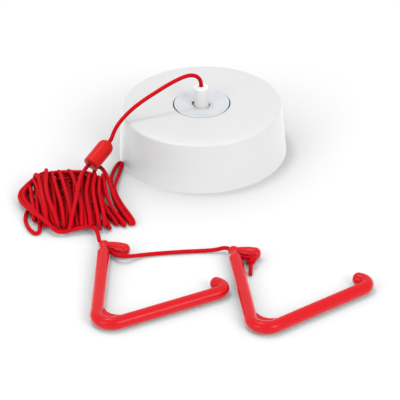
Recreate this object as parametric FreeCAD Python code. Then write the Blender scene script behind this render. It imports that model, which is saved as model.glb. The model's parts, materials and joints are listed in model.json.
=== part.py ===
# Ceiling pull cord switch with two open triangular pulls, lying on its back.
# Millimetres. Origin at the centre of the mounting face, +Z out of the round face.
import FreeCAD, Part
import math
import os

V = FreeCAD.Vector
Z = V(0, 0, 1)

# ---- driving dimensions -------------------------------------------------
BASE_R = 50.0            # housing radius on the mounting face
RIM_R = 47.4             # radius of the crisp edge round the face
RIM_Z = 31.0             # height of that edge
FACE_Z = 32.0            # height of the flat face
FACE_R = 40.0            # radius where the face starts to fall to the rim
WALL = 2.2               # moulded wall
EYE_R = 17.0             # hole in the cover round the lens
LENS_R = 16.8            # translucent centre disc
LENS_HALF_WIDTH = 16.35  # its sides are cut back, which leaves a crescent gap at each
LENS_SIDE_R = 18.0       # radius of those cut sides
LENS_FLOOR_Z = 31.2
LENS_RIM_Z = 32.4
LENS_BORE_R = 4.65       # hole that the stem slides through
PLATE_R = 46.8           # back plate inside the cover
PLATE_T = 2.6
UPSTAND_R = 45.2         # upright wall on the back plate
UPSTAND_Z = 10.0
CLIP_ANGLES = (45, 135, 225, 315)
FIX_SPACING = 51.0       # two ceiling screws on a conduit box
FIX_SLOT = (4.6, 9.0)    # width and end-to-end length
CABLE_R = 9.5            # cable entry
CABLE_XY = (-22.0, 22.0)

STEM_R = 4.25            # white stem that the cord leaves
STEM_TOP = 43.8
TRAVEL = 3.5             # how far a pull draws the stem out
GUIDE_R = 9.6
GUIDE_BORE_R = 7.9
GUIDE_TOP = 29.5
CAP_Z = 27.3             # underside of the guide's end wall
FLANGE_Z = (8.0, 10.4)
FLANGE_R = 7.55
KEY_R = 6.0              # rib that stops the stem turning
KEY_W = 3.0
SPRING_R = 7.2
SPRING_WIRE = 0.9
SPRING_TURNS = 7
SPRING_STEPS = 10        # arcs in each turn of the wire
EAR_X = 14.0             # fixing ears of the guide

SWITCH = (13.0, 32.8, 15.0, 25.2)   # y from, y to, z from, z to
SWITCH_W = 6.4
PIN_YZ = (30.0, 11.6)    # hinge of the switch's lever
LEVER_Z = 10.7           # underside of the lever
LEVER_T = 0.4
LEVER_END = 9.9          # y of its free end
BUTTON_Y = 23.5
BOARD_Z = (9.0, 10.6)
BOARD_R = 41.5
BOARD_EDGE = -10.6
BOARD_POSTS = ((0.0, -36.0), (-30.0, -18.0), (30.0, -18.0))

CORD_D = 2.3
CORD_R = CORD_D / 2
CORD_HOLE_R = 1.45

SIDE = 82.5              # the two whole sides of a pull's open triangle
CORNER = 62.0            # angle between them, degrees
ROD_R = 3.75
ROD_Z = 3.8              # rod axis when a pull lies flat
APEX_R = 3.2             # ball at corner A, which the cord hole runs through
NECK_R = 2.75            # leg's narrow end beside that ball
NECK_LEN = 8.2           # from corner A to where the leg is full size
STUB_NECK_R = 2.4        # stub beside the ball
STUB_LEN = 15.5
STUB_TURN = 10.0         # the stub points this much outside the open side
HOOK_LEN = 13.6
BEND_B = 8.5             # centreline bend radii
BEND_C = 5.0
TIP_ROUND = 3.2
WEB_T = 3.0
PULL_1 = (-60.5, -191.2, 25.5)      # corner B and the turn of side BC
PULL_2 = (25.0, -200.1, 34.5)
MOUTH = APEX_R           # corner A to the cord hole's outer mouth
INNER = 10.2             # corner A to where the cord comes clear inside
KNOT_AT = 12.2           # corner A to the middle of the end knot
KNOT_R = 2.6

JOINER_TOP = V(-55.4, -23.9, 20.4)  # cord joiner, upper and lower end
JOINER_END = V(-65.7, -37.3, 14.1)
JOINER_R = 4.9
PLUG_R = 4.37
SHANK_R = 3.68
HANK_TOP = 12.6


# ---- helpers --------------------------------------------------------------
def cyl(r, z0, z1, x=0.0, y=0.0):
    return Part.makeCylinder(r, z1 - z0, V(x, y, z0))


def rod(r, p, q):
    return Part.makeCylinder(r, (q - p).Length, p, q - p)


def box(x0, x1, y0, y1, z0, z1):
    return Part.makeBox(x1 - x0, y1 - y0, z1 - z0, V(x0, y0, z0))


def ring(r0, r1, z0, z1):
    return cyl(r1, z0, z1).cut(cyl(r0, z0, z1))


def spun(points, axis=Z, base=V(0, 0, 0)):
    """Solid of revolution about Z from (radius, height) points, laid along axis."""
    wire = Part.makePolygon([V(r, 0, z) for r, z in points] + [V(points[0][0], 0, points[0][1])])
    solid = Part.Face(wire).revolve(V(0, 0, 0), Z, 360)
    solid.Placement = FreeCAD.Placement(base, FreeCAD.Rotation(Z, axis))
    return solid


def sector(r0, r1, z0, z1, mid, span):
    """Part of a ring, span degrees wide about the angle mid."""
    face = Part.makePolygon([V(r0, 0, z0), V(r1, 0, z0), V(r1, 0, z1), V(r0, 0, z1), V(r0, 0, z0)])
    piece = Part.Face(face).revolve(V(0, 0, 0), Z, span)
    piece.rotate(V(0, 0, 0), Z, mid - span / 2)
    return piece


def fuse(shapes):
    return shapes[0].multiFuse(shapes[1:]).removeSplitter()


def bend_path(points):
    """Straight runs joined by tangent arcs, each as large as its two runs allow."""
    edges = []
    radii = []
    start = points[0]
    for a, b, c in zip(points, points[1:], points[2:]):
        back = (a - b).normalize()
        on = (c - b).normalize()
        half = (math.pi - back.getAngle(on)) / 2
        reach = 0.45 * min((a - b).Length, (c - b).Length)
        radius = reach / math.tan(half)
        radii.append(radius)
        p = b + back * reach
        q = b + on * reach
        middle = b + (back + on).normalize() * (radius / math.cos(half) - radius)
        edges.append(Part.LineSegment(start, p).toShape())
        edges.append(Part.Arc(p, middle, q).toShape())
        start = q
    edges.append(Part.LineSegment(start, points[-1]).toShape())
    return Part.Wire(edges), radii


def swept(path, r):
    first = path.Edges[0]
    section = Part.Wire(Part.makeCircle(r, first.valueAt(first.FirstParameter),
                                        first.tangentAt(first.FirstParameter)))
    return path.makePipeShell([section], True, False)


def cord_tube(name, points, r=CORD_R):
    path, radii = bend_path(points)
    tube = swept(path, r)
    ideal = math.pi * r * r * path.Length
    print("%-14s length %.1f mm, bend radii %s, volume / (section x length) %.4f" % (
        name, path.Length, " ".join("%.1f" % v for v in radii), tube.Volume / ideal))
    return tube


def save(name, shape):
    if shape.ShapeType == "Compound" and len(shape.Solids) == 1:
        shape = shape.Solids[0]
    shape.exportStep("parts/%s.step" % name)
    print("%-24s %2d solid(s) %10.1f mm3 valid %s" % (
        name, len(shape.Solids), shape.Volume, shape.isValid()))


# ---- housing --------------------------------------------------------------
def make_cover():
    """Shallow tapered cup: flat face, gently falling shoulder, crisp rim, tapered wall."""
    drop = FACE_Z - RIM_Z
    run = RIM_R - FACE_R
    crown = (run * run + drop * drop) / (2 * drop)
    slope = math.asin(run / crown)
    shoulder = Part.Arc(V(FACE_R, 0, FACE_Z),
                        V(FACE_R + crown * math.sin(slope / 2), 0,
                          FACE_Z - crown * (1 - math.cos(slope / 2))),
                        V(RIM_R, 0, RIM_Z)).toShape()
    inner_top = FACE_Z - WALL
    outline = [V(RIM_R, 0, RIM_Z), V(BASE_R, 0, 0), V(BASE_R - WALL - 0.4, 0, 0),
               V(RIM_R - WALL, 0, inner_top - 2), V(RIM_R - WALL - 2, 0, inner_top - 0.6),
               V(FACE_R, 0, inner_top), V(EYE_R + 1.8, 0, inner_top), V(EYE_R + 1.8, 0, 26.5),
               V(EYE_R, 0, 26.5), V(EYE_R, 0, FACE_Z - 0.2), V(EYE_R + 0.2, 0, FACE_Z),
               V(FACE_R, 0, FACE_Z)]
    sides = [Part.LineSegment(a, b).toShape() for a, b in zip(outline, outline[1:])]
    cover = Part.Face(Part.Wire([shoulder] + sides)).revolve(V(0, 0, 0), Z, 360)
    rim = [e for e in cover.Edges if abs(e.BoundBox.ZMax - RIM_Z) < 0.01 and e.BoundBox.ZLength < 0.01]
    cover = cover.makeFillet(1.5, rim)
    ledges = [sector(45.4, 47.4, 4.4, 6.8, a, 10) for a in CLIP_ANGLES]
    return fuse([cover] + ledges)


def make_back_plate():
    plate = [cyl(PLATE_R, 0, PLATE_T), ring(UPSTAND_R - 1.6, UPSTAND_R, PLATE_T, UPSTAND_Z)]
    plate += [sector(UPSTAND_R - 0.8, 46.3, 7.0, 9.0, a, 14) for a in CLIP_ANGLES]
    plate += [cyl(3.2, PLATE_T, 6.6, side * EAR_X, 0) for side in (-1, 1)]
    plate += [cyl(2.6, PLATE_T, BOARD_Z[0], x, y) for x, y in BOARD_POSTS]
    shape = fuse(plate)
    for side in (-1, 1):
        shape = shape.cut(slot(side * FIX_SPACING / 2, FIX_SLOT[0], FIX_SLOT[1], -1, PLATE_T + 1))
        shape = shape.cut(cyl(1.2, 3.4, 7, side * EAR_X, 0))
    for x, y in BOARD_POSTS:
        shape = shape.cut(cyl(1.1, 4.0, BOARD_Z[0] + 1, x, y))
    return shape.cut(cyl(CABLE_R, -1, PLATE_T + 1, *CABLE_XY))


def slot(x, width, length, z0, z1):
    half = (length - width) / 2
    ends = [cyl(width / 2, z0, z1, x + s * half, 0) for s in (-1, 1)]
    return fuse(ends + [box(x - half, x + half, -width / 2, width / 2, z0, z1)])


def make_lens():
    """Shallow translucent dish with a raised rim, skirt and collar over the guide."""
    skirt = LENS_R - 1.6
    dish = spun([(LENS_BORE_R, 29.5), (9.7, 29.5), (9.7, 25.5), (11.2, 25.5), (11.2, 29.5),
                 (skirt, 29.5), (skirt, 27.0), (LENS_R, 27.0), (LENS_R, LENS_RIM_Z - 0.3),
                 (LENS_R - 0.3, LENS_RIM_Z),
                 (LENS_R - 0.9, LENS_RIM_Z - 0.05), (LENS_R - 2.2, LENS_RIM_Z - 0.55),
                 (LENS_R - 4.2, LENS_FLOOR_Z + 0.15), (LENS_R - 6.4, LENS_FLOOR_Z),
                 (LENS_BORE_R + 0.4, LENS_FLOOR_Z), (LENS_BORE_R, LENS_FLOOR_Z - 0.4)])
    for side in (-1, 1):
        dish = dish.common(cyl(LENS_SIDE_R, 25, 33, side * (LENS_SIDE_R - LENS_HALF_WIDTH)))
    return dish.cut(box(-5.8, 0, -0.8, 4.4, 29, 32))


# ---- stem, spring and guide ------------------------------------------------
def make_guide():
    """Tube that carries the stem and spring, with two ears and an arm for the switch."""
    parts = [cyl(GUIDE_R, PLATE_T, GUIDE_TOP)]
    for side in (-1, 1):
        parts.append(cyl(3.4, 6.6, 9.0, side * EAR_X, 0))
        parts.append(box(min(side * 8.5, side * EAR_X), max(side * 8.5, side * EAR_X), -3.4, 3.4, 6.6, 9))
    arm_x = SWITCH_W / 2 + 0.05
    parts.append(box(arm_x, arm_x + 2, 7, SWITCH[1], SWITCH[2] - 1, SWITCH[3]))
    guide = fuse(parts).cut(cyl(GUIDE_BORE_R, 0, CAP_Z)).cut(cyl(LENS_BORE_R, 0, 40))
    guide = guide.cut(box(-6.4, 0, -1.9, 1.9, CAP_Z - 1, 40))
    guide = guide.cut(box(-2, 2, 5, 12, 6, 17))
    for side in (-1, 1):
        guide = guide.cut(cyl(1.5, 6, 10, side * EAR_X, 0))
    for y in (18.0, 27.5):
        guide = guide.cut(rod(1.0, V(0, y, 22), V(12, y, 22)))
    return guide


def make_stem():
    """White stem with a rounded nose, cord bore, key rib, flange and switch finger."""
    nose = 1.1
    body = spun([(CORD_HOLE_R, 20), (2.8, 18), (2.8, FLANGE_Z[0]), (FLANGE_R, FLANGE_Z[0]),
                 (FLANGE_R, FLANGE_Z[1]), (STEM_R, FLANGE_Z[1]), (STEM_R, STEM_TOP - nose),
                 (STEM_R - 0.3, STEM_TOP - 0.35), (STEM_R - nose, STEM_TOP), (CORD_HOLE_R, STEM_TOP)])
    rib = box(-KEY_R, -3.4, -KEY_W / 2, KEY_W / 2, FLANGE_Z[0], 25.8)
    finger = box(-1.5, 1.5, 5, 12.5, FLANGE_Z[0], FLANGE_Z[1])
    return fuse([body, rib, finger])


def make_spring():
    """Helix of short arcs between the stem's flange and the guide's end wall."""
    low = FLANGE_Z[1] + SPRING_WIRE / 2 + 0.15
    rise = CAP_Z - SPRING_WIRE / 2 - 0.15 - low
    steps = SPRING_STEPS * SPRING_TURNS
    points = []
    for i in range(steps + 1):
        angle = 2 * math.pi * i / SPRING_STEPS
        points.append(V(SPRING_R * math.cos(angle), SPRING_R * math.sin(angle), low + rise * i / steps))
    return swept(bend_path(points)[0], SPRING_WIRE / 2)


def make_stem_cord():
    """Cord inside the stem, ending in a knot in its pocket."""
    knot = Part.makeSphere(2.5, V(0, 0, 14.5))
    return fuse([cyl(CORD_R, 14.5, STEM_TOP), knot])


# ---- switch ---------------------------------------------------------------
def make_switch_body():
    half = SWITCH_W / 2
    y0, y1, z0, z1 = SWITCH
    ears = [box(side * half - (0.9 if side > 0 else 0), side * half + (0 if side > 0 else 0.9),
                PIN_YZ[0] - 1.5, PIN_YZ[0] + 1.5, PIN_YZ[1] - 1.6, z0) for side in (-1, 1)]
    body = fuse([box(-half, half, y0, y1, z0, z1)] + ears)
    body = body.cut(cyl(1.4, z0 - 1, z0 + 4.6, 0, BUTTON_Y))
    body = body.cut(rod(0.62, V(-5, *PIN_YZ), V(5, *PIN_YZ)))
    for y in (18.0, 27.5):
        body = body.cut(rod(1.2, V(-5, y, 22), V(5, y, 22)))
    return body


def make_lever():
    y, z = PIN_YZ
    plate = box(-1.6, 1.6, LEVER_END, y, LEVER_Z, LEVER_Z + LEVER_T)
    barrel = rod(1.2, V(-1.6, y, z), V(1.6, y, z))
    return fuse([plate, barrel]).cut(rod(0.66, V(-5, y, z), V(5, y, z)))


def make_button():
    return cyl(1.2, LEVER_Z + LEVER_T + 0.3, 17.6, 0, BUTTON_Y)


def make_terminals():
    tip_y = SWITCH[1] + 4
    return Part.makeCompound([box(-1.4, 1.4, SWITCH[1], tip_y, z, z + 0.6) for z in (17.0, 20.0, 23.0)])


def make_switch_leads():
    """Two insulated wires from the switch's blades to the terminal block."""
    leads = []
    for z, x, drop in ((17.3, 17.5, 0.0), (23.3, 22.5, 2.5)):
        route = [V(0, 36.8, z), V(0, 39.4, z), V(5, 41.2, z - 0.5), V(12, 39.5, 17.5 + drop),
                 V(x - 1.5, 34.5, 17.8 + drop), V(x, 28.5, 17.6 + drop), V(x, 24, 17.0), V(x, 24, 13.6)]
        leads.append(cord_tube("switch lead", route, 0.7))
    return Part.makeCompound(leads)


def screw(x, y, head_z, length, r=1.5, head_r=2.7, head_h=1.8):
    """Cross-slotted pan screw pointing down, its head's underside at head_z."""
    head = cyl(head_r, head_z, head_z + head_h, x, y)
    slots = box(x - head_r * 0.7, x + head_r * 0.7, y - 0.35, y + 0.35, head_z + 0.8, head_z + 3)
    cross = box(x - 0.35, x + 0.35, y - head_r * 0.7, y + head_r * 0.7, head_z + 0.8, head_z + 3)
    return fuse([head, cyl(r, head_z - length, head_z, x, y)]).cut(slots).cut(cross)


def make_switch_screws():
    screws = []
    for y in (18.0, 27.5):
        left = -SWITCH_W / 2
        screws.append(fuse([rod(1.9, V(left - 1.2, y, 22), V(left, y, 22)),
                            rod(0.95, V(left, y, 22), V(5, y, 22))]))
    return Part.makeCompound(screws)


# ---- circuit board --------------------------------------------------------
def make_board():
    disc = cyl(BOARD_R, BOARD_Z[0], BOARD_Z[1])
    board = disc.common(box(-50, 50, -50, BOARD_EDGE, BOARD_Z[0], BOARD_Z[1]))
    for x, y in BOARD_POSTS:
        board = board.cut(cyl(1.6, 5, 15, x, y))
    return board


def make_leds():
    leds = []
    for x in (-6.0, 6.0):
        stand = cyl(2.4, BOARD_Z[1], 17, x, -13.4)
        lens = cyl(2.5, 17, 21.5, x, -13.4)
        leds.append(fuse([stand, lens, Part.makeSphere(2.5, V(x, -13.4, 21.5))]))
    return Part.makeCompound(leds)


def make_buzzer():
    body = cyl(7, BOARD_Z[1], 18.6, -18, -27)
    return body.cut(cyl(1.2, 17, 19, -18, -27))


def make_relay():
    relay = box(6, 21, -34, -23, BOARD_Z[1], 21)
    upright = [e for e in relay.Edges if e.BoundBox.ZLength > 5]
    return relay.makeFillet(0.6, upright)


def make_resistors():
    body = []
    for i in range(4):
        y = -17.5 - 2.9 * i
        body.append(rod(1.0, V(-5.5 + 0.4 * i, y, BOARD_Z[1] + 1.0), V(0.5 + 0.4 * i, y, BOARD_Z[1] + 1.0)))
    return Part.makeCompound(body)


def make_capacitor():
    return spun([(0, 0), (3.6, 0), (3.6, 1.2), (3.3, 1.5), (3.6, 1.8), (3.6, 10.6), (3.2, 11), (0, 11)],
                base=V(-6.5, -31.8, BOARD_Z[1]))


def make_terminal_block():
    """Four-way block with a screw well and a wire mouth for each way."""
    block = box(12, 32, 15, 26, PLATE_T, 13.6)
    for i in range(4):
        x = 14.5 + 5 * i
        block = block.cut(cyl(1.9, 8.6, 14, x, 19))
        block = block.cut(box(x - 1.6, x + 1.6, 14, 17.5, 4, 8))
    return block


def make_terminal_screws():
    return Part.makeCompound([screw(14.5 + 5 * i, 19, 10.2, 1.55, 1.2, 1.8, 1.6) for i in range(4)])


# ---- pulls ----------------------------------------------------------------
def corners(pull):
    x, y, turn = pull
    b = V(x, y, ROD_Z)
    towards = [V(math.cos(math.radians(t)), math.sin(math.radians(t)), 0) for t in (turn, turn + CORNER)]
    return b + towards[1] * SIDE, b, b + towards[0] * SIDE


def stub_direction(pull):
    a, b, c = corners(pull)
    return FreeCAD.Rotation(Z, STUB_TURN).multVec((c - a).normalize())


def inward(pull):
    """Way of the cord hole, midway between the leg and the stub."""
    a, b, c = corners(pull)
    return ((b - a).normalize() + stub_direction(pull)).normalize()


def corner_arc(corner, p, q, radius):
    """Tangent points and middle of an arc that rounds the corner of the path p, corner, q."""
    back = (p - corner).normalize()
    on = (q - corner).normalize()
    half = back.getAngle(on) / 2
    reach = radius / math.tan(half)
    nearest = radius / math.sin(half) - radius
    return corner + back * reach, corner + (back + on).normalize() * nearest, corner + on * reach


def make_pull(pull):
    """Open triangle of bent round rod: narrow end with the cord hole, stub, two legs and hook."""
    a, b, c = corners(pull)
    b0, b1, b2 = corner_arc(b, a, c, BEND_B)
    c0, c1, c2 = corner_arc(c, b, a, BEND_C)
    along = (b - a).normalize()
    stub_dir = stub_direction(pull)
    hook_end = c + (a - c).normalize() * HOOK_LEN
    shoulder = a + along * (NECK_LEN + 0.2)
    path = Part.Wire([Part.LineSegment(shoulder, b0).toShape(), Part.Arc(b0, b1, b2).toShape(),
                      Part.LineSegment(b2, c0).toShape(), Part.Arc(c0, c1, c2).toShape(),
                      Part.LineSegment(c2, hook_end).toShape()])
    legs = swept(path, ROD_R)
    tip = [e for e in legs.Edges if (e.CenterOfMass - hook_end).Length < 0.1]
    legs = legs.makeFillet(TIP_ROUND, tip)
    neck = spun([(0, 0), (NECK_R, 0), (NECK_R, 3.4), (NECK_R + 0.2, 4.8), (NECK_R + 0.6, 6.2),
                 (ROD_R - 0.1, 7.4), (ROD_R, NECK_LEN), (ROD_R, NECK_LEN + 1), (0, NECK_LEN + 1)],
                along, a)
    stub_end = a + stub_dir * STUB_LEN
    stub = spun([(0, 0), (STUB_NECK_R, 0), (ROD_R - 0.5, 4.6), (ROD_R - 0.05, 8.2), (ROD_R, 10.0),
                 (ROD_R, STUB_LEN), (0, STUB_LEN)], stub_dir, a)
    end = [e for e in stub.Edges if (e.CenterOfMass - stub_end).Length < 0.1]
    stub = stub.makeFillet(TIP_ROUND, end)
    apex = Part.makeSphere(APEX_R, a)
    body = fuse([legs, neck, stub, apex, make_web(a, b, c, b0, b1, b2)])
    u = inward(pull)
    return body.cut(rod(CORD_HOLE_R, a - u * 8, a + u * (INNER + 2)))


def make_web(a, b, c, b0, b1, b2):
    """Thin gusset inside corner B, bounded by an arc tangent to both legs."""
    gap = ROD_R + BEND_B
    to_a = (a - b).normalize()
    to_c = (c - b).normalize()
    half = to_a.getAngle(to_c) / 2
    centre = b + (to_a + to_c).normalize() * (gap / math.sin(half))
    reach = gap / math.tan(half)
    outline = [b + to_a * reach, b0, b1, b2, b + to_c * reach]
    down = V(0, 0, WEB_T / 2)
    flat = Part.Face(Part.makePolygon([p - down for p in outline + outline[:1]]))
    web = flat.extrude(V(0, 0, WEB_T))
    return web.cut(Part.makeCylinder(BEND_B, WEB_T * 2, centre - V(0, 0, WEB_T), Z))


def make_pull_cord(pull):
    a = corners(pull)[0]
    u = inward(pull)
    return rod(CORD_R, a - u * MOUTH, a + u * INNER)


def make_end_knot(pull):
    """Cord through the last pull, its knot and the cut tail."""
    a = corners(pull)[0]
    u = inward(pull)
    knot = a + u * KNOT_AT + V(1.2, -0.1, 0)
    tail = knot + V(1.3, -9.4, -2.2)
    return fuse([rod(CORD_R, a - u * MOUTH, a + u * KNOT_AT), Part.makeSphere(KNOT_R, knot),
                 rod(CORD_R, knot, tail)])


# ---- cord joiner ------------------------------------------------------------
def joiner_axis():
    return (JOINER_END - JOINER_TOP).normalize()


def plug_exit():
    """Off-centre mouth in the plug's end, low and on the hank's side."""
    axis = joiner_axis()
    side = V(axis.y, -axis.x, 0).normalize()
    down = axis.cross(side)
    return JOINER_END + side * 2.1 - down * (1.2 if down.z > 0 else -1.2)


def make_joiner_barrel():
    length = (JOINER_END - JOINER_TOP).Length
    groove_r = SHANK_R + 0.52
    return spun([(CORD_HOLE_R, 0), (2.6, 0), (3.3, 0.35), (4.3, 1.6), (4.75, 2.8), (JOINER_R, 4.0),
                 (JOINER_R, length - 0.4), (JOINER_R - 0.25, length), (PLUG_R + 0.08, length),
                 (PLUG_R + 0.08, length - 2.2), (SHANK_R + 0.07, length - 2.2),
                 (SHANK_R + 0.07, length - 4.6), (groove_r, length - 4.6), (groove_r, length - 5.7),
                 (SHANK_R + 0.07, length - 5.7), (SHANK_R + 0.07, 4.2), (CORD_HOLE_R, 3.6)],
                joiner_axis(), JOINER_TOP)


def make_joiner_plug():
    length = (JOINER_END - JOINER_TOP).Length
    bead_r = SHANK_R + 0.42
    plug = spun([(0, length - 7.2), (SHANK_R, length - 7.2), (SHANK_R, length - 5.6),
                 (bead_r, length - 5.45), (bead_r, length - 4.85), (SHANK_R, length - 4.7),
                 (SHANK_R, length - 2.1), (PLUG_R, length - 2.1), (PLUG_R, length - 0.1),
                 (PLUG_R - 0.4, length + 0.25), (2.6, length + 0.5), (0, length + 0.6)],
                joiner_axis(), JOINER_TOP)
    return plug.cut(rod(1.4, plug_exit() - joiner_axis() * 12, plug_exit() + joiner_axis() * 2))


def make_joiner_knots():
    """Upper and lower cord ends knotted inside the joiner."""
    axis = joiner_axis()
    upper = fuse([rod(CORD_R, JOINER_TOP, JOINER_TOP + axis * 6.0),
                  Part.makeSphere(2.1, JOINER_TOP + axis * 6.2)])
    mouth = plug_exit()
    knot = mouth + (JOINER_END - mouth) * 0.2
    lower = fuse([rod(CORD_R, mouth - axis * 8, mouth + axis * 0.6),
                  rod(1.7, knot - axis * 9.0, knot - axis * 7.35)])
    return upper, lower


# ---- cords ----------------------------------------------------------------
def upper_route():
    axis = joiner_axis()
    return [V(0, 0, STEM_TOP), V(0, 0, 47.6), V(-2.9, -0.3, 51.3), V(-8.6, -1.4, 52.0),
            V(-18.3, -6.2, 49.6), V(-26.3, -10.6, 46.6), V(-34.7, -14.2, 42.8), V(-42.1, -17.3, 38.2),
            V(-48.4, -19.2, 31.9), V(-51.8, -20.6, 26.8), JOINER_TOP - axis * 3.0, JOINER_TOP]


def lead_route():
    axis = joiner_axis()
    mouth = plug_exit() + axis * 0.6
    return [mouth, mouth + axis * 2.6, V(-69.9, -46.0, 13.2), V(-71.0, -54.5, 12.2)]


def tail_route():
    a = corners(PULL_1)[0]
    u = inward(PULL_1)
    mouth = a - u * MOUTH
    return [V(-70.5, -84.6, 3.2), V(-65.0, -87.0, 3.3), V(-61.9, -91.5, 3.4), V(-60.4, -96.6, 3.6),
            V(-60.3, -100.6, 3.8), mouth - u * 2.8, mouth]


def link_route():
    a1 = corners(PULL_1)[0]
    u1 = inward(PULL_1)
    a2 = corners(PULL_2)[0]
    u2 = inward(PULL_2)
    start = a1 + u1 * INNER
    mouth = a2 - u2 * MOUTH
    return [start, start + u1 * 2.2, V(-47.6, -120.9, 4.6), V(-44.6, -121.0, 4.2), V(-41.5, -119.2, 3.0),
            V(-37.2, -116.4, 1.7), V(-29.5, -114.6, 1.3), V(-20.0, -113.8, 1.3), V(-10.5, -113.2, 1.4),
            V(-2.0, -112.9, 1.3), V(5.6, -113.2, 1.9), mouth - u2 * 3.0, mouth]


def slab(points, z0, z1, bevel):
    """Closed slab on a plan outline, its top drawn in by a bevel."""
    middle = V(sum(p[0] for p in points) / len(points), sum(p[1] for p in points) / len(points), 0)
    rings = []
    for z, inset in ((z0, 0), (z1 - bevel, 0), (z1, bevel)):
        loop = []
        for x, y in points:
            arm = V(x, y, 0) - middle
            loop.append(middle + arm * ((arm.Length - inset) / arm.Length) + V(0, 0, z))
        rings.append(Part.makePolygon(loop + loop[:1]))
    return Part.makeLoft(rings, True, True)


def make_hank():
    """Outer shape of the wound cord: a thick bundle and a thinner fan of loose turns."""
    bundle = [(-107.2, -51.0), (-103.6, -43.5), (-96.0, -38.8), (-86.0, -37.0), (-76.0, -38.6),
              (-68.0, -41.5), (-60.6, -44.0), (-57.0, -55.0), (-56.4, -70.0), (-58.4, -82.0),
              (-64.0, -87.0), (-74.0, -88.4), (-84.0, -91.0), (-91.0, -88.5), (-98.5, -75.0),
              (-105.0, -62.0)]
    fan = [(-66.0, -46.0), (-60.5, -40.0), (-55.0, -36.0), (-51.8, -40.0), (-49.5, -55.0),
           (-44.5, -68.0), (-41.6, -79.0), (-43.5, -85.0), (-51.0, -86.5), (-60.0, -88.0),
           (-66.0, -80.0), (-67.0, -62.0)]
    return fuse([slab(bundle, 0.1, HANK_TOP, 4.0), slab(fan, 0.1, 6.0, 2.5)])


def main():
    os.makedirs("parts", exist_ok=True)
    upper_knot, lower_knot = make_joiner_knots()
    guide_screws = Part.makeCompound([screw(s * EAR_X, 0, 9.0, 5.2, 1.15) for s in (-1, 1)])
    board_screws = Part.makeCompound([screw(x, y, BOARD_Z[1], 6.0, 1.05) for x, y in BOARD_POSTS])
    nodes = {
        "cover": make_cover(),
        "back_plate": make_back_plate(),
        "lens_disc": make_lens(),
        "stem_guide": make_guide(),
        "guide_screws": guide_screws,
        "pull_stem": make_stem(),
        "return_spring": make_spring(),
        "stem_cord_knot": make_stem_cord(),
        "microswitch_body": make_switch_body(),
        "microswitch_lever": make_lever(),
        "lever_pin": rod(0.6, V(-SWITCH_W / 2, *PIN_YZ), V(SWITCH_W / 2, *PIN_YZ)),
        "microswitch_button": make_button(),
        "microswitch_terminals": make_terminals(),
        "microswitch_screws": make_switch_screws(),
        "switch_leads": make_switch_leads(),
        "circuit_board": make_board(),
        "board_screws": board_screws,
        "indicator_leds": make_leds(),
        "buzzer": make_buzzer(),
        "relay": make_relay(),
        "resistors": make_resistors(),
        "capacitor": make_capacitor(),
        "terminal_block": make_terminal_block(),
        "terminal_screws": make_terminal_screws(),
        "joiner_barrel": make_joiner_barrel(),
        "joiner_plug": make_joiner_plug(),
        "joiner_upper_knot": upper_knot,
        "joiner_lower_knot": lower_knot,
        "cord_upper": cord_tube("cord_upper", upper_route()),
        "cord_lead": cord_tube("cord_lead", lead_route()),
        "cord_hank": make_hank(),
        "cord_tail": cord_tube("cord_tail", tail_route()),
        "cord_link": cord_tube("cord_link", link_route()),
        "pull_1": make_pull(PULL_1),
        "pull_1_cord": make_pull_cord(PULL_1),
        "pull_2": make_pull(PULL_2),
        "pull_2_knot": make_end_knot(PULL_2),
    }
    for name, shape in nodes.items():
        save(name, shape)


main()
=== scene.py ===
# %% [markdown]
# # A ceiling pull cord switch, lying on its back
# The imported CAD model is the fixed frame. Every new piece is placed from it, in metres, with
# +Z up out of the switch's round face.

# %% Load the frame
import bpy
import bmesh
import json
import math
import random
from mathutils import Matrix, Vector


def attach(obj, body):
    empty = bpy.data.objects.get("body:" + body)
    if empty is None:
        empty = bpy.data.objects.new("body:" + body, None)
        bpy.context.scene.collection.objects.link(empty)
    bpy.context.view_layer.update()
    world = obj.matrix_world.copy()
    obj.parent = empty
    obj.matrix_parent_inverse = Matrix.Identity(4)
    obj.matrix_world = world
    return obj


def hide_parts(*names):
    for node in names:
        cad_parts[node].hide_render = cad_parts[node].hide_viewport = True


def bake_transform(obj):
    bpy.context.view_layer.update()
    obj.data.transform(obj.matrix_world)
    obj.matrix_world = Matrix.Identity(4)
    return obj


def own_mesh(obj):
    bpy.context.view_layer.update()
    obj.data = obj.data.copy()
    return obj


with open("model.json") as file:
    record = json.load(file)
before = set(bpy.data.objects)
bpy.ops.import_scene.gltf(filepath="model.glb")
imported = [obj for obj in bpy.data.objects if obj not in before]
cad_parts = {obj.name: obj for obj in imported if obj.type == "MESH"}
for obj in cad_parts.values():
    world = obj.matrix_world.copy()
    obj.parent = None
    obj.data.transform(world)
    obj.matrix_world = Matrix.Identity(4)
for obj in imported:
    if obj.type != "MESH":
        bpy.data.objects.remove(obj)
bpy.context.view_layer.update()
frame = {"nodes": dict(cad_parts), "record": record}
nodes = frame["nodes"]
MM = 0.001

# %% [markdown]
# ## Camera
# A long lens from in front and 32 degrees up gives a nearly parallel view. The camera is aimed with
# to_track_quat, then turned a little about its own line of sight.

# %% Camera
CAMERA_AT = Vector((-0.00245, -1.33756, 0.80009))
LOOKS_AT = Vector((-0.00245, -0.05681, 0.0))
CAMERA_ROLL = math.radians(-1.461)
lens = bpy.data.cameras.new("camera")
lens.lens = 234.0
lens.sensor_width = 36.0
lens.clip_end = 20.0
camera = bpy.data.objects.new("camera", lens)
bpy.context.scene.collection.objects.link(camera)
camera.location = CAMERA_AT
camera.rotation_mode = "QUATERNION"
aim = (LOOKS_AT - CAMERA_AT).to_track_quat("-Z", "Y")
camera.rotation_quaternion = aim @ Matrix.Rotation(CAMERA_ROLL, 3, "Z").to_quaternion()
bpy.context.scene.camera = camera
print("camera", tuple(round(v, 3) for v in CAMERA_AT))

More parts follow.
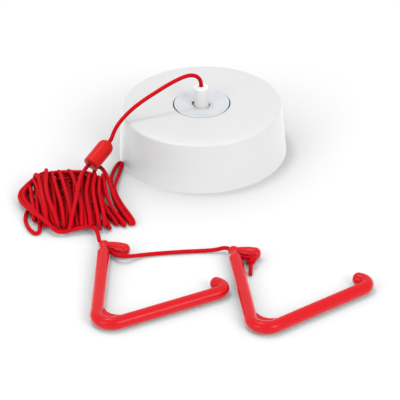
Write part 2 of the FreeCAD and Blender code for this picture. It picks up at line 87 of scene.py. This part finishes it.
# %% [markdown]
# ## Light
# A studio table: an even white surround fills every side. A key lamp high behind the left gives the
# short shadows to the right and in front, and two large weak lamps in front light the walls. The
# surround shows white to the camera, to gloss and through clear plastic, and lights the object at a
# plain level.

# %% Shader helpers
class Wave:
    """A number socket. Arithmetic on it adds Math nodes to its tree."""

    def __init__(self, tree, socket):
        self.tree = tree
        self.socket = socket

    def _maths(self, operation, *values):
        node = self.tree.nodes.new("ShaderNodeMath")
        node.operation = operation
        for place, value in zip(node.inputs, values):
            if isinstance(value, Wave):
                self.tree.links.new(value.socket, place)
            else:
                place.default_value = value
        return Wave(self.tree, node.outputs[0])

    def __add__(self, other):
        return self._maths("ADD", self, other)

    def __sub__(self, other):
        return self._maths("SUBTRACT", self, other)

    def __mul__(self, other):
        return self._maths("MULTIPLY", self, other)

    def sine(self):
        return self._maths("SINE", self)

    def above(self, level):
        return self._maths("MAXIMUM", self, level)

    def below(self, level):
        return self._maths("MINIMUM", self, level)


class Finish:
    """A material, its Principled shader, and one method that adds any other node."""

    def __init__(self, name, colour, roughness, **fixed):
        self.material = bpy.data.materials.new(name)
        self.material.use_nodes = True
        self.tree = self.material.node_tree
        self.shader = self.tree.nodes["Principled BSDF"]
        self.shader.inputs["Base Color"].default_value = (*colour, 1.0)
        self.shader.inputs["Roughness"].default_value = roughness
        for socket, value in fixed.items():
            self.shader.inputs[socket.replace("_", " ")].default_value = value

    def node(self, kind, out=0, **values):
        made = self.tree.nodes.new(kind)
        for socket, value in values.items():
            self.feed(made.inputs[socket.replace("_", " ")], value)
        return Wave(self.tree, made.outputs[out])

    def feed(self, place, value):
        if isinstance(value, Wave):
            self.tree.links.new(value.socket, place)
        else:
            place.default_value = value

    def place(self, kind="Object"):
        return self.node("ShaderNodeTexCoord", out=kind)

    def noise(self, scale, detail=3.0, vector=None):
        return self.node("ShaderNodeTexNoise", Vector=vector or self.place(), Scale=scale, Detail=detail)

    def mix(self, factor, low, high):
        node = self.tree.nodes.new("ShaderNodeMix")
        node.data_type = "RGBA"
        self.feed(node.inputs["Factor"], factor)
        self.feed(node.inputs[6], (*low, 1.0))
        self.feed(node.inputs[7], (*high, 1.0))
        return Wave(self.tree, node.outputs[2])

    def bump(self, height, strength, distance):
        normal = self.node("ShaderNodeBump", Height=height, Strength=strength, Distance=distance)
        self.feed(self.shader.inputs["Normal"], normal)

    def vary(self, socket, value):
        self.feed(self.shader.inputs[socket], value)


print("shader helpers ready")

# %% Surround, lamps and floor
SURROUND = 0.71          # share of the light that comes from everywhere
GLOSS_SHARE = 0.9        # share of the full white that shows in gloss
world = bpy.data.worlds.new("surround")
bpy.context.scene.world = world
world.use_nodes = True
tree = world.node_tree
path = tree.nodes.new("ShaderNodeLightPath")
background = tree.nodes["Background"]
seen = Wave(tree, path.outputs["Is Camera Ray"])
gloss = Wave(tree, path.outputs["Is Glossy Ray"])
through = Wave(tree, path.outputs["Is Transmission Ray"])
shown = (seen + gloss * GLOSS_SHARE + through).below(1.0)
tree.links.new((shown * (1.0 - SURROUND) + SURROUND).socket, background.inputs["Strength"])
background.inputs["Color"].default_value = (1.0, 1.0, 1.0, 1.0)


def lamp(name, place, target, size, power):
    light = bpy.data.lights.new(name, "AREA")
    light.shape = "SQUARE"
    light.size = size
    light.energy = power
    made = bpy.data.objects.new(name, light)
    bpy.context.scene.collection.objects.link(made)
    made.location = place
    made.rotation_mode = "QUATERNION"
    made.rotation_quaternion = (Vector(target) - Vector(place)).to_track_quat("-Z", "Y")


lamp("key_lamp", (-0.30, 0.20, 1.45), (0, -0.07, 0), 0.28, 3.3)
lamp("front_lamp", (1.0, -1.25, 0.9), (0, -0.07, 0), 0.8, 8.5)
lamp("side_lamp", (-1.1, -1.1, 0.7), (0, -0.07, 0), 0.8, 4.6)

FLOOR_HALF = 3.0
mesh = bpy.data.meshes.new("floor")
bm = bmesh.new()
bmesh.ops.create_grid(bm, x_segments=1, y_segments=1, size=FLOOR_HALF)
bm.to_mesh(mesh)
bm.free()
floor = bpy.data.objects.new("floor", mesh)
bpy.context.scene.collection.objects.link(floor)
TABLE_GLOW = 0.75        # plain light that the white table sends up
table_top = Finish("white_table", (0.86, 0.86, 0.86), 0.85, Specular_IOR_Level=0.2,
                   Emission_Strength=1.0)
camera_ray = table_top.node("ShaderNodeLightPath", out="Is Camera Ray")
table_top.vary("Base Color", table_top.mix(camera_ray, (0.86, 0.86, 0.86), (0.98, 0.98, 0.98)))
table_top.vary("Emission Color", table_top.mix(camera_ray, (TABLE_GLOW,) * 3, (0.03, 0.03, 0.03)))
mesh.materials.append(table_top.material)
# direct light only: red pieces then cast no red glow on the white ones
bpy.context.scene.cycles.diffuse_bounces = 0
print("surround", SURROUND, "floor", FLOOR_HALF * 2, "m")

# %% [markdown]
# ## Finishes
# Moulded plastic is never quite even: its gloss wanders and its skin has a faint grain. The cord is a
# tight braid, so its bump follows the cord's own UV map: crossing diagonals made from two sine waves.
# The same waves paint light and shade into its colour: darker in the grooves between strands.

# %% Plastic finishes
def moulded(name, colour, roughness, grain=0.00002, wander=0.06, **fixed):
    """Moulded plastic: cloudy gloss, a trace of colour wander and a fine skin."""
    finish = Finish(name, colour, roughness, **fixed)
    cloud = finish.noise(38.0)
    finish.vary("Roughness", cloud * wander + (roughness - wander / 2))
    shade = [max(0.0, v * 0.965) for v in colour]
    finish.vary("Base Color", finish.mix(cloud, shade, colour))
    finish.bump(finish.noise(2600.0, 2.0), 0.25, grain)
    return finish


# the stem's faint light stands in for what the white face around it would throw on to it
FINISHES = {
    "housing_white": moulded("moulded_white", (0.82, 0.82, 0.82), 0.36, IOR=1.5),
    "plate_white": moulded("plate_white", (0.74, 0.74, 0.73), 0.5),
    "lens_white": moulded("frosted_lens", (0.80, 0.83, 0.87), 0.22, Subsurface_Weight=0.15,
                          Subsurface_Scale=0.002),
    "guide_white": moulded("guide_white", (0.76, 0.76, 0.75), 0.45),
    "stem_white": moulded("stem_white", (0.96, 0.96, 0.95), 0.3, Emission_Color=(1.0, 1.0, 1.0, 1.0),
                          Emission_Strength=0.12),
    "switch_black": moulded("moulded_black", (0.02, 0.02, 0.022), 0.4),
    "button_red": moulded("button_red", (0.5, 0.04, 0.03), 0.4),
    "wire_blue": moulded("wire_skin", (0.04, 0.12, 0.42), 0.35),
    "led_clear": moulded("clear_epoxy", (0.78, 0.8, 0.76), 0.08, Transmission_Weight=0.6),
    "relay_orange": moulded("relay_case", (0.62, 0.28, 0.03), 0.3),
    "resistor_tan": moulded("resistor_body", (0.55, 0.4, 0.22), 0.45),
    "capacitor_black": moulded("capacitor_sleeve", (0.015, 0.016, 0.035), 0.25),
    "block_grey": moulded("terminal_grey", (0.32, 0.33, 0.34), 0.45),
    "joiner_red": moulded("joiner_red", (0.74, 0.006, 0.006), 0.34, wander=0.08,
                          Specular_IOR_Level=0.2),
    "pull_red": moulded("pull_red", (0.76, 0.006, 0.012), 0.22, wander=0.08, Specular_IOR_Level=0.22),
}
print("plastic finishes", len(FINISHES))


# %% Metal and board finishes
def metal(name, colour, roughness, grain):
    finish = Finish(name, colour, roughness, Metallic=1.0)
    brushed = finish.noise(grain)
    finish.vary("Roughness", brushed * 0.16 + (roughness - 0.08))
    finish.bump(brushed, 0.2, 0.00001)
    return finish


FINISHES["spring_steel"] = metal("spring_steel", (0.62, 0.62, 0.63), 0.28, 900.0)
FINISHES["screw_steel"] = metal("zinc_screw", (0.66, 0.65, 0.62), 0.32, 1500.0)
FINISHES["brass"] = metal("tinned_brass", (0.72, 0.58, 0.3), 0.3, 1200.0)

board = Finish("green_board", (0.02, 0.16, 0.06), 0.35)
weave = board.noise(700.0)
board.vary("Base Color", board.mix(weave, (0.012, 0.12, 0.04), (0.03, 0.2, 0.08)))
board.bump(weave, 0.3, 0.00002)
FINISHES["board_green"] = board
print("metals and board done")

# %% Braided cord finish
BRAID_TURNS = 8.0        # carriers round the cord


def braid(name, length, pitch=0.0021):
    """Round braid on a tube's UV map: one axis runs along the cord, the other round it."""
    finish = Finish(name, (0.62, 0.0, 0.008), 0.7, Specular_IOR_Level=0.14)
    uv = finish.place("UV")
    split = finish.tree.nodes.new("ShaderNodeSeparateXYZ")
    finish.feed(split.inputs[0], uv)
    along = Wave(finish.tree, split.outputs[0]) * (length / pitch * math.tau)
    round_it = Wave(finish.tree, split.outputs[1]) * (BRAID_TURNS * math.tau)
    strands = (along + round_it).sine().above((along - round_it).sine())
    cloud = finish.noise(160.0)
    # painted shade and highlight: the colour is darker in the grooves between strands and lighter on
    # their crowns; the cloud adds random tone
    groove_shade_and_tone = strands * 0.3 + cloud * 0.5 + 0.2
    finish.vary("Base Color", finish.mix(groove_shade_and_tone, (0.50, 0.0, 0.003), (0.88, 0.0, 0.012)))
    finish.bump(strands, 0.35, 0.00018)
    return finish


for node in nodes.values():
    slot = next(s["material_slot"] for s in frame["record"]["subparts"] if s["node"] == node.name)
    finish = FINISHES.get(slot)
    if finish:
        node.data.materials.clear()
        node.data.materials.append(finish.material)
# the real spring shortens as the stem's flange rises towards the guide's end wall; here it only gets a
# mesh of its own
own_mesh(nodes["return_spring"])
print("CAD nodes finished")

# %% [markdown]
# ## Cords
# A cord is one NURBS spline through listed points, and a bevel gives it its thickness. Order 3
# keeps it close to its points without kinks. The upper cord, the link cord and the knot are made
# meshes.

# %% Cord helpers
CORD_D = 2.3 * MM
TUBE_R = CORD_D / 2 * 1.04      # a tube of flat strips is a little thinner than its circle


def spline_curve(name, points, bevel):
    curve = bpy.data.curves.new(name, "CURVE")
    curve.dimensions = "3D"
    curve.resolution_u = 6
    spline = curve.splines.new("NURBS")
    spline.points.add(len(points) - 1)
    for point, place in zip(spline.points, points):
        point.co = (*[v * MM for v in place], 1.0)
    spline.order_u = 3
    spline.use_endpoint_u = True
    curve.bevel_depth = bevel
    curve.bevel_resolution = 3
    curve.use_fill_caps = True
    made = bpy.data.objects.new(name, curve)
    bpy.context.scene.collection.objects.link(made)
    return made


def centreline(name, points):
    """Points of the smooth line that the spline follows, and its length."""
    thin = spline_curve(name + "_line", points, 0.0)
    bpy.context.view_layer.update()
    mesh = bpy.data.meshes.new_from_object(thin.evaluated_get(bpy.context.evaluated_depsgraph_get()))
    line = [v.co.copy() for v in mesh.vertices]
    bpy.data.objects.remove(thin)
    bpy.data.meshes.remove(mesh)
    length = sum((b - a).length for a, b in zip(line, line[1:]))
    print(name, "length", round(length * 1000), "mm in", len(line), "points")
    return line, length


def cord_mesh(name, points):
    """A bevelled spline made into a mesh."""
    curve = spline_curve(name + "_curve", points, TUBE_R)
    bpy.context.view_layer.update()
    mesh = bpy.data.meshes.new_from_object(curve.evaluated_get(bpy.context.evaluated_depsgraph_get()))
    bpy.data.objects.remove(curve)
    mesh.name = name
    mesh.polygons.foreach_set("use_smooth", [True] * len(mesh.polygons))
    made = bpy.data.objects.new(name, mesh)
    bpy.context.scene.collection.objects.link(made)
    return made


def unit(v):
    return Vector(v).normalized()


print("cord helpers ready")

# %% [markdown]
# ### The upper cord
# It leaves the stem, arches over the face and drops past the rim into the joiner, and is made a mesh.

# %% Upper cord
STEM_TOP = 43.8
JOINER_TOP = Vector((-55.4, -23.9, 20.4))
JOINER_END = Vector((-65.7, -37.3, 14.1))
joiner_way = unit(JOINER_END - JOINER_TOP)
upper = [(0, 0, STEM_TOP), (0, 0, 47.6), (-2.9, -0.3, 51.3), (-8.6, -1.4, 52.0), (-18.3, -6.2, 49.6),
         (-26.3, -10.6, 46.6), (-34.7, -14.2, 42.8), (-42.1, -17.3, 38.2), (-48.4, -19.2, 31.9),
         (-51.8, -20.6, 26.8), tuple(JOINER_TOP - joiner_way * 3.0), tuple(JOINER_TOP)]
line, length = centreline("upper", upper)
upper_cord = cord_mesh("upper_cord", upper)
upper_cord.data.materials.append(braid("upper_braid", length).material)
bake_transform(upper_cord)
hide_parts("cord_upper")

# %% [markdown]
# ### The long cord
# From the joiner's plug the cord crosses over the top of its own hank, goes under it, winds it from
# left to right as flat turns 45 mm long, fans out loose at the right, and comes back along
# the near side to the first pull. Each wound turn is set by where it crosses the far and near
# edges and how high it rides, and a loop lays the points of its top and its underside.

# %% Wound turns
# far edge (x, y), near edge (x, y), height of the crown and sideways bow of the top strand
TURNS = [((-101.5, -45.0), (-98.0, -78.0), 6.2, 0.6),
         ((-99.6, -42.0), (-91.1, -82.7), 9.0, 0.9),
         ((-97.6, -39.4), (-90.2, -84.2), 11.2, 0.6),
         ((-96.4, -40.0), (-94.4, -80.5), 6.4, -1.4),
         ((-93.6, -38.4), (-86.0, -86.0), 9.4, -2.2),
         ((-91.6, -35.2), (-83.9, -88.3), 12.0, -3.1),
         ((-92.4, -39.4), (-88.6, -85.0), 6.6, 1.2),
         ((-90.4, -38.0), (-84.4, -87.2), 8.8, 0.8),
         ((-88.8, -36.8), (-80.3, -87.9), 11.0, 0.2),
         ((-87.2, -39.6), (-83.6, -86.4), 6.4, -1.0),
         ((-84.6, -36.8), (-75.9, -88.2), 11.8, 0.8),
         ((-83.0, -38.6), (-78.8, -86.8), 8.2, 1.5),
         ((-78.6, -35.6), (-70.2, -88.6), 11.0, 2.0),
         ((-80.4, -39.8), (-74.6, -86.4), 6.6, 0.8),
         ((-75.6, -37.2), (-72.6, -87.6), 8.8, -0.8),
         ((-73.6, -39.8), (-71.2, -86.0), 6.2, 0.6),
         ((-70.6, -38.4), (-67.8, -88.4), 9.4, -1.2),
         ((-66.4, -39.6), (-65.2, -89.2), 11.2, -1.9),
         ((-69.2, -41.2), (-66.4, -86.4), 6.6, 1.0),
         ((-65.0, -41.0), (-63.6, -87.4), 8.4, -1.8),
         ((-62.6, -40.2), (-60.4, -89.4), 10.8, -2.3),
         ((-61.6, -42.0), (-60.4, -86.2), 6.4, -1.2),
         ((-60.6, -41.8), (-57.2, -88.8), 9.6, -1.2)]
ON_TABLE = CORD_D / MM / 2 + 0.1
STRAND_TOP = ((0.14, 1.0), (0.34, 1.0), (0.55, 1.0), (0.76, 0.97), (0.91, 0.86))
STRAND_UNDER = (0.16, 0.42, 0.68, 0.86)
UNDER_HEIGHTS = (1.25, 3.7, 5.9, 2.5, 4.8)
rng = random.Random(7)


def wound_turn(far, near, crown, bow, under_to, under_z):
    """One flat turn: round the far fold, over the top, round the near fold, back underneath."""
    low = min(under_z, crown - 3.6)
    sway = rng.uniform(0, math.tau)
    points = [(far[0] - 1.6, far[1] + 0.2, low + 0.2), (far[0] - 0.4, far[1] - 0.6, crown * 0.96)]
    for along, rise in STRAND_TOP:
        x = far[0] + (near[0] - far[0]) * along + bow * math.sin(math.pi * along)
        x += 0.35 * math.sin(math.tau * along + sway)
        y = far[1] + (near[1] - far[1]) * along
        points.append((x, y, crown * rise + rng.uniform(-0.2, 0.2)))
    points.append((near[0], near[1] - 0.6, crown * 0.58))
    points.append((near[0] + 0.8, near[1] + 0.4, max(ON_TABLE, low - 0.8)))
    for along in STRAND_UNDER:
        x = near[0] + (under_to[0] - near[0] - 1.6) * along + rng.uniform(-0.8, 0.8)
        y = near[1] + (under_to[1] - near[1]) * along
        points.append((x, y, low + rng.uniform(0.0, 0.3)))
    return points


winding = []
for count, (far, near, crown, bow) in enumerate(TURNS):
    following = TURNS[count + 1][0] if count + 1 < len(TURNS) else (-58.0, -44.0)
    winding += wound_turn(far, near, crown, bow, following, UNDER_HEIGHTS[count % len(UNDER_HEIGHTS)])
print("wound turns", len(TURNS), "points", len(winding))

# %% Long cord
side = unit((joiner_way.y, -joiner_way.x, 0))
dip = joiner_way.cross(side)
if dip.z > 0:
    dip = -dip
plug_mouth = JOINER_END + side * 2.1 + dip * 1.2 + joiner_way * 0.6
over_the_hank = [tuple(plug_mouth), tuple(plug_mouth + joiner_way * 2.6), (-71.0, -47.0, 13.4),
                 (-71.9, -57.0, 14.6), (-72.6, -67.0, 14.8), (-73.8, -79.0, 13.8), (-75.6, -87.6, 9.6),
                 (-76.8, -91.2, 5.2), (-78.4, -90.4, 2.0), (-83.0, -83.0, 1.3)]
# the core lies across the turns, under them: to and fro between the hank's ends, near side to far
core = [(-92.0, -80.0, 1.4), (-90.0, -77.4, 2.6), (-76.0, -79.0, 2.7), (-62.0, -80.4, 2.6),
        (-60.6, -77.0, 2.4), (-64.0, -74.6, 2.6), (-80.0, -73.0, 2.8), (-95.0, -70.6, 2.6),
        (-97.6, -67.6, 2.4), (-94.0, -66.0, 2.6), (-78.0, -67.6, 2.8), (-63.0, -68.4, 2.6),
        (-61.0, -65.4, 2.4), (-64.6, -62.8, 2.6), (-82.0, -61.6, 2.8), (-98.6, -60.4, 2.6),
        (-100.6, -57.4, 2.4), (-97.0, -55.6, 2.6), (-80.0, -56.6, 2.8), (-64.0, -57.2, 2.6),
        (-61.6, -54.0, 2.4), (-65.0, -51.4, 3.8), (-82.0, -50.4, 4.0), (-98.0, -50.6, 3.4),
        (-100.6, -49.0, 2.6), (-97.0, -47.2, 3.0), (-82.0, -45.8, 4.6), (-67.0, -46.2, 4.4),
        (-63.0, -45.4, 3.4), (-66.0, -43.4, 2.6), (-82.0, -42.4, 2.8), (-95.0, -43.6, 2.6),
        (-97.6, -43.4, 4.0), (-94.0, -42.8, 5.2), (-82.0, -42.4, 5.2), (-67.0, -43.2, 5.4),
        (-63.0, -42.8, 5.8), (-66.4, -42.4, 7.8), (-80.0, -41.7, 7.7), (-94.0, -42.6, 7.3),
        (-97.2, -42.4, 7.6), (-92.6, -39.2, 9.6), (-86.0, -38.9, 10.4), (-78.0, -38.4, 10.2),
        (-69.0, -39.8, 10.6), (-63.4, -41.4, 9.0), (-66.0, -40.8, 6.6), (-72.0, -39.4, 8.4),
        (-80.0, -38.6, 7.8),
        (-88.0, -38.4, 9.0), (-94.0, -39.0, 8.4), (-99.6, -42.2, 6.6), (-104.2, -47.6, 5.2),
        (-105.4, -54.6, 4.6), (-102.8, -62.8, 4.8), (-99.0, -71.0, 5.8), (-94.4, -78.8, 6.2),
        (-90.6, -84.0, 4.4), (-91.4, -84.4, 1.6), (-96.0, -74.0, 1.3), (-101.6, -61.0, 1.3),
        (-103.6, -52.0, 1.4)]
# loose turns at the right: the strand beside the hank, the one from behind the joiner, the long loop
fan = [(-58.8, -43.6, 5.6), (-59.0, -37.6, 8.4), (-57.8, -47.6, 8.4), (-56.8, -58.7, 8.2),
       (-55.2, -66.0, 7.6), (-52.9, -73.4, 6.4), (-49.7, -79.6, 4.8), (-46.2, -84.2, 3.0),
       (-45.6, -85.4, 1.4), (-49.6, -79.0, 1.3), (-56.0, -66.0, 1.3), (-61.0, -52.0, 1.4),
       (-64.0, -40.0, 3.0), (-64.6, -32.4, 6.6), (-61.4, -30.4, 9.2), (-58.0, -36.8, 9.2),
       (-55.6, -45.0, 8.4), (-53.9, -53.2, 7.8), (-52.1, -62.0, 7.0), (-49.2, -70.2, 6.0),
       (-45.4, -78.4, 4.4), (-42.2, -82.6, 2.6), (-42.0, -83.6, 1.3), (-46.0, -76.0, 1.3),
       (-51.6, -61.0, 1.4), (-53.6, -51.0, 3.2), (-54.4, -41.6, 3.4), (-54.0, -30.7, 2.6),
       (-52.2, -21.4, 1.8), (-50.2, -15.0, 1.3), (-48.4, -14.8, 1.3), (-48.4, -19.0, 1.3),
       (-49.6, -28.1, 1.8), (-51.4, -39.6, 3.4), (-52.4, -49.6, 5.2), (-50.4, -60.0, 5.6),
       (-46.8, -69.4, 4.8), (-43.0, -76.9, 3.6), (-40.4, -82.0, 2.0), (-41.0, -83.6, 1.3),
       (-48.0, -74.0, 1.3), (-55.6, -66.0, 1.6), (-60.4, -60.0, 4.0), (-60.6, -56.0, 6.2),
       (-59.6, -62.0, 7.4), (-57.8, -70.4, 6.8), (-54.9, -76.7, 5.2), (-51.4, -81.6, 3.2),
       (-49.6, -84.4, 1.6), (-54.0, -78.0, 1.3), (-61.0, -66.0, 1.6), (-62.6, -60.0, 4.6),
       (-61.2, -62.0, 7.6), (-60.0, -68.0, 7.8), (-58.6, -76.9, 6.4), (-56.1, -83.8, 4.0),
       (-53.6, -89.0, 1.8), (-56.0, -84.0, 1.3), (-64.0, -74.0, 1.3)]
small_loop = [(-72.0, -66.0, 1.4), (-86.0, -64.0, 1.4), (-97.0, -62.0, 1.5), (-102.0, -65.0, 1.4),
              (-103.4, -72.5, 1.3), (-102.4, -80.0, 1.3), (-99.8, -87.0, 1.3), (-96.6, -91.0, 1.3),
              (-94.2, -89.0, 1.3), (-94.4, -81.0, 1.4), (-96.4, -72.0, 1.5), (-94.0, -58.0, 1.5),
              (-90.0, -46.0, 2.0)]
last_strand = [(-89.0, -38.0, 4.4), (-90.4, -35.2, 8.0), (-94.4, -38.0, 9.4), (-98.6, -41.6, 8.2),
               (-103.6, -45.4, 5.8), (-107.0, -49.6, 4.0), (-107.4, -55.4, 3.6), (-104.6, -63.4, 4.2),
               (-100.4, -71.4, 5.4), (-95.6, -79.6, 6.6), (-90.8, -85.6, 6.8), (-87.2, -90.0, 5.0),
               (-84.2, -91.8, 3.0), (-80.0, -91.6, 2.6), (-75.6, -90.6, 3.4), (-70.5, -89.6, 4.2),
               (-65.8, -88.6, 4.4), (-62.6, -90.6, 4.0), (-60.9, -95.4, 3.6), (-60.2, -100.6, 3.8)]
APEX_R = 3.2
PULL_1_APEX = Vector((-56.901, -108.779, 3.8))
PULL_1_INWARD = unit((0.52992, -0.84805, 0))
mouth_1 = PULL_1_APEX - PULL_1_INWARD * APEX_R
last_strand += [tuple(mouth_1 - PULL_1_INWARD * 2.8), tuple(mouth_1)]
route = over_the_hank + core + winding + fan + small_loop + last_strand
line, length = centreline("long", route)
long_cord = spline_curve("long_cord", route, TUBE_R)
long_cord.data.materials.append(braid("long_braid", length).material)
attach(long_cord, "housing")
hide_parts("cord_lead", "cord_hank", "cord_tail")

# %% [markdown]
# ### The link cord and the end knot
# Out of the first pull the cord bows along the table to the second one, where it goes through and
# is knotted, with a short cut tail.

# %% Link cord
PULL_2_APEX = Vector((15.661, -118.13, 3.8))
PULL_2_INWARD = unit((0.65606, -0.75471, 0))
STUB_EXIT = 10.2         # from the first pull's corner to where the cord leaves its stub
link_start = PULL_1_APEX + PULL_1_INWARD * STUB_EXIT
mouth_2 = PULL_2_APEX - PULL_2_INWARD * APEX_R
link = [tuple(link_start), tuple(link_start + PULL_1_INWARD * 2.2), (-47.6, -120.9, 4.6),
        (-44.6, -121.0, 4.2), (-41.5, -119.2, 3.0), (-37.2, -116.4, 1.7), (-29.5, -114.6, 1.3),
        (-20.0, -113.8, 1.3), (-10.5, -113.2, 1.4), (-2.0, -112.9, 1.3), (5.6, -113.2, 1.9),
        tuple(mouth_2 - PULL_2_INWARD * 3.0), tuple(mouth_2)]
line, length = centreline("link", link)
link_cord = cord_mesh("link_cord", link)
link_cord.data.materials.append(braid("link_braid", length).material)
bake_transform(link_cord)
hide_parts("cord_link")

# %% End knot
KNOT_AT = 12.2           # from the second pull's corner to the knot
KNOT_CORD = 0.05         # metres of cord in the knot and its tail
knot_at = PULL_2_APEX + PULL_2_INWARD * KNOT_AT + Vector((1.2, -0.1, 0))
across = unit((-PULL_2_INWARD.y, PULL_2_INWARD.x, 0))
up = Vector((0, 0, 1))


def from_knot(forward, sideways, lift):
    return tuple(knot_at + PULL_2_INWARD * forward + across * sideways + up * lift)


# in through the pull, twice round itself, then out through the turns to the cut end
knot_route = [tuple(mouth_2), from_knot(-9, -0.9, 0), from_knot(-4.4, -0.9, 0),
              from_knot(-1.8, -0.4, 0.4),
              from_knot(0.6, 1.2, 1.9), from_knot(1.9, 0.4, 2.1), from_knot(2.0, -1.5, 0.9),
              from_knot(0.8, -2.2, -0.7), from_knot(-0.9, -1.5, -1.6), from_knot(-1.4, 0.7, -1.2),
              from_knot(-0.6, 2.0, 0.2), from_knot(0.9, 1.9, 1.2), from_knot(2.3, 0.6, 0.6),
              from_knot(2.5, -0.9, -0.4), from_knot(2.9, -2.6, -0.8), from_knot(5.0, -4.6, -1.3),
              from_knot(6.6, -6.2, -1.9), from_knot(7.9, -7.6, -2.4)]
end_knot = cord_mesh("end_knot", knot_route)
end_knot.data.materials.append(braid("knot_braid", KNOT_CORD).material)
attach(end_knot, "pull_2")
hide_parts("pull_2_knot")
print("knot points", len(knot_route))

# %% Cord inside the pieces
INNER_CORD = 0.03        # metres, about the longest of the hidden ends
INNER_NODES = ("stem_cord_knot", "joiner_upper_knot", "joiner_lower_knot", "pull_1_cord")
hidden_braid = braid("inner_braid", INNER_CORD)
for name in INNER_NODES:
    nodes[name].data.materials.clear()
    nodes[name].data.materials.append(hidden_braid.material)
print("inner cord ends", len(INNER_NODES))

# %% [markdown]
# ## Settings
# The Standard view transform shows colours as they are written.

# %% Finish
bpy.context.scene.view_settings.view_transform = "Standard"
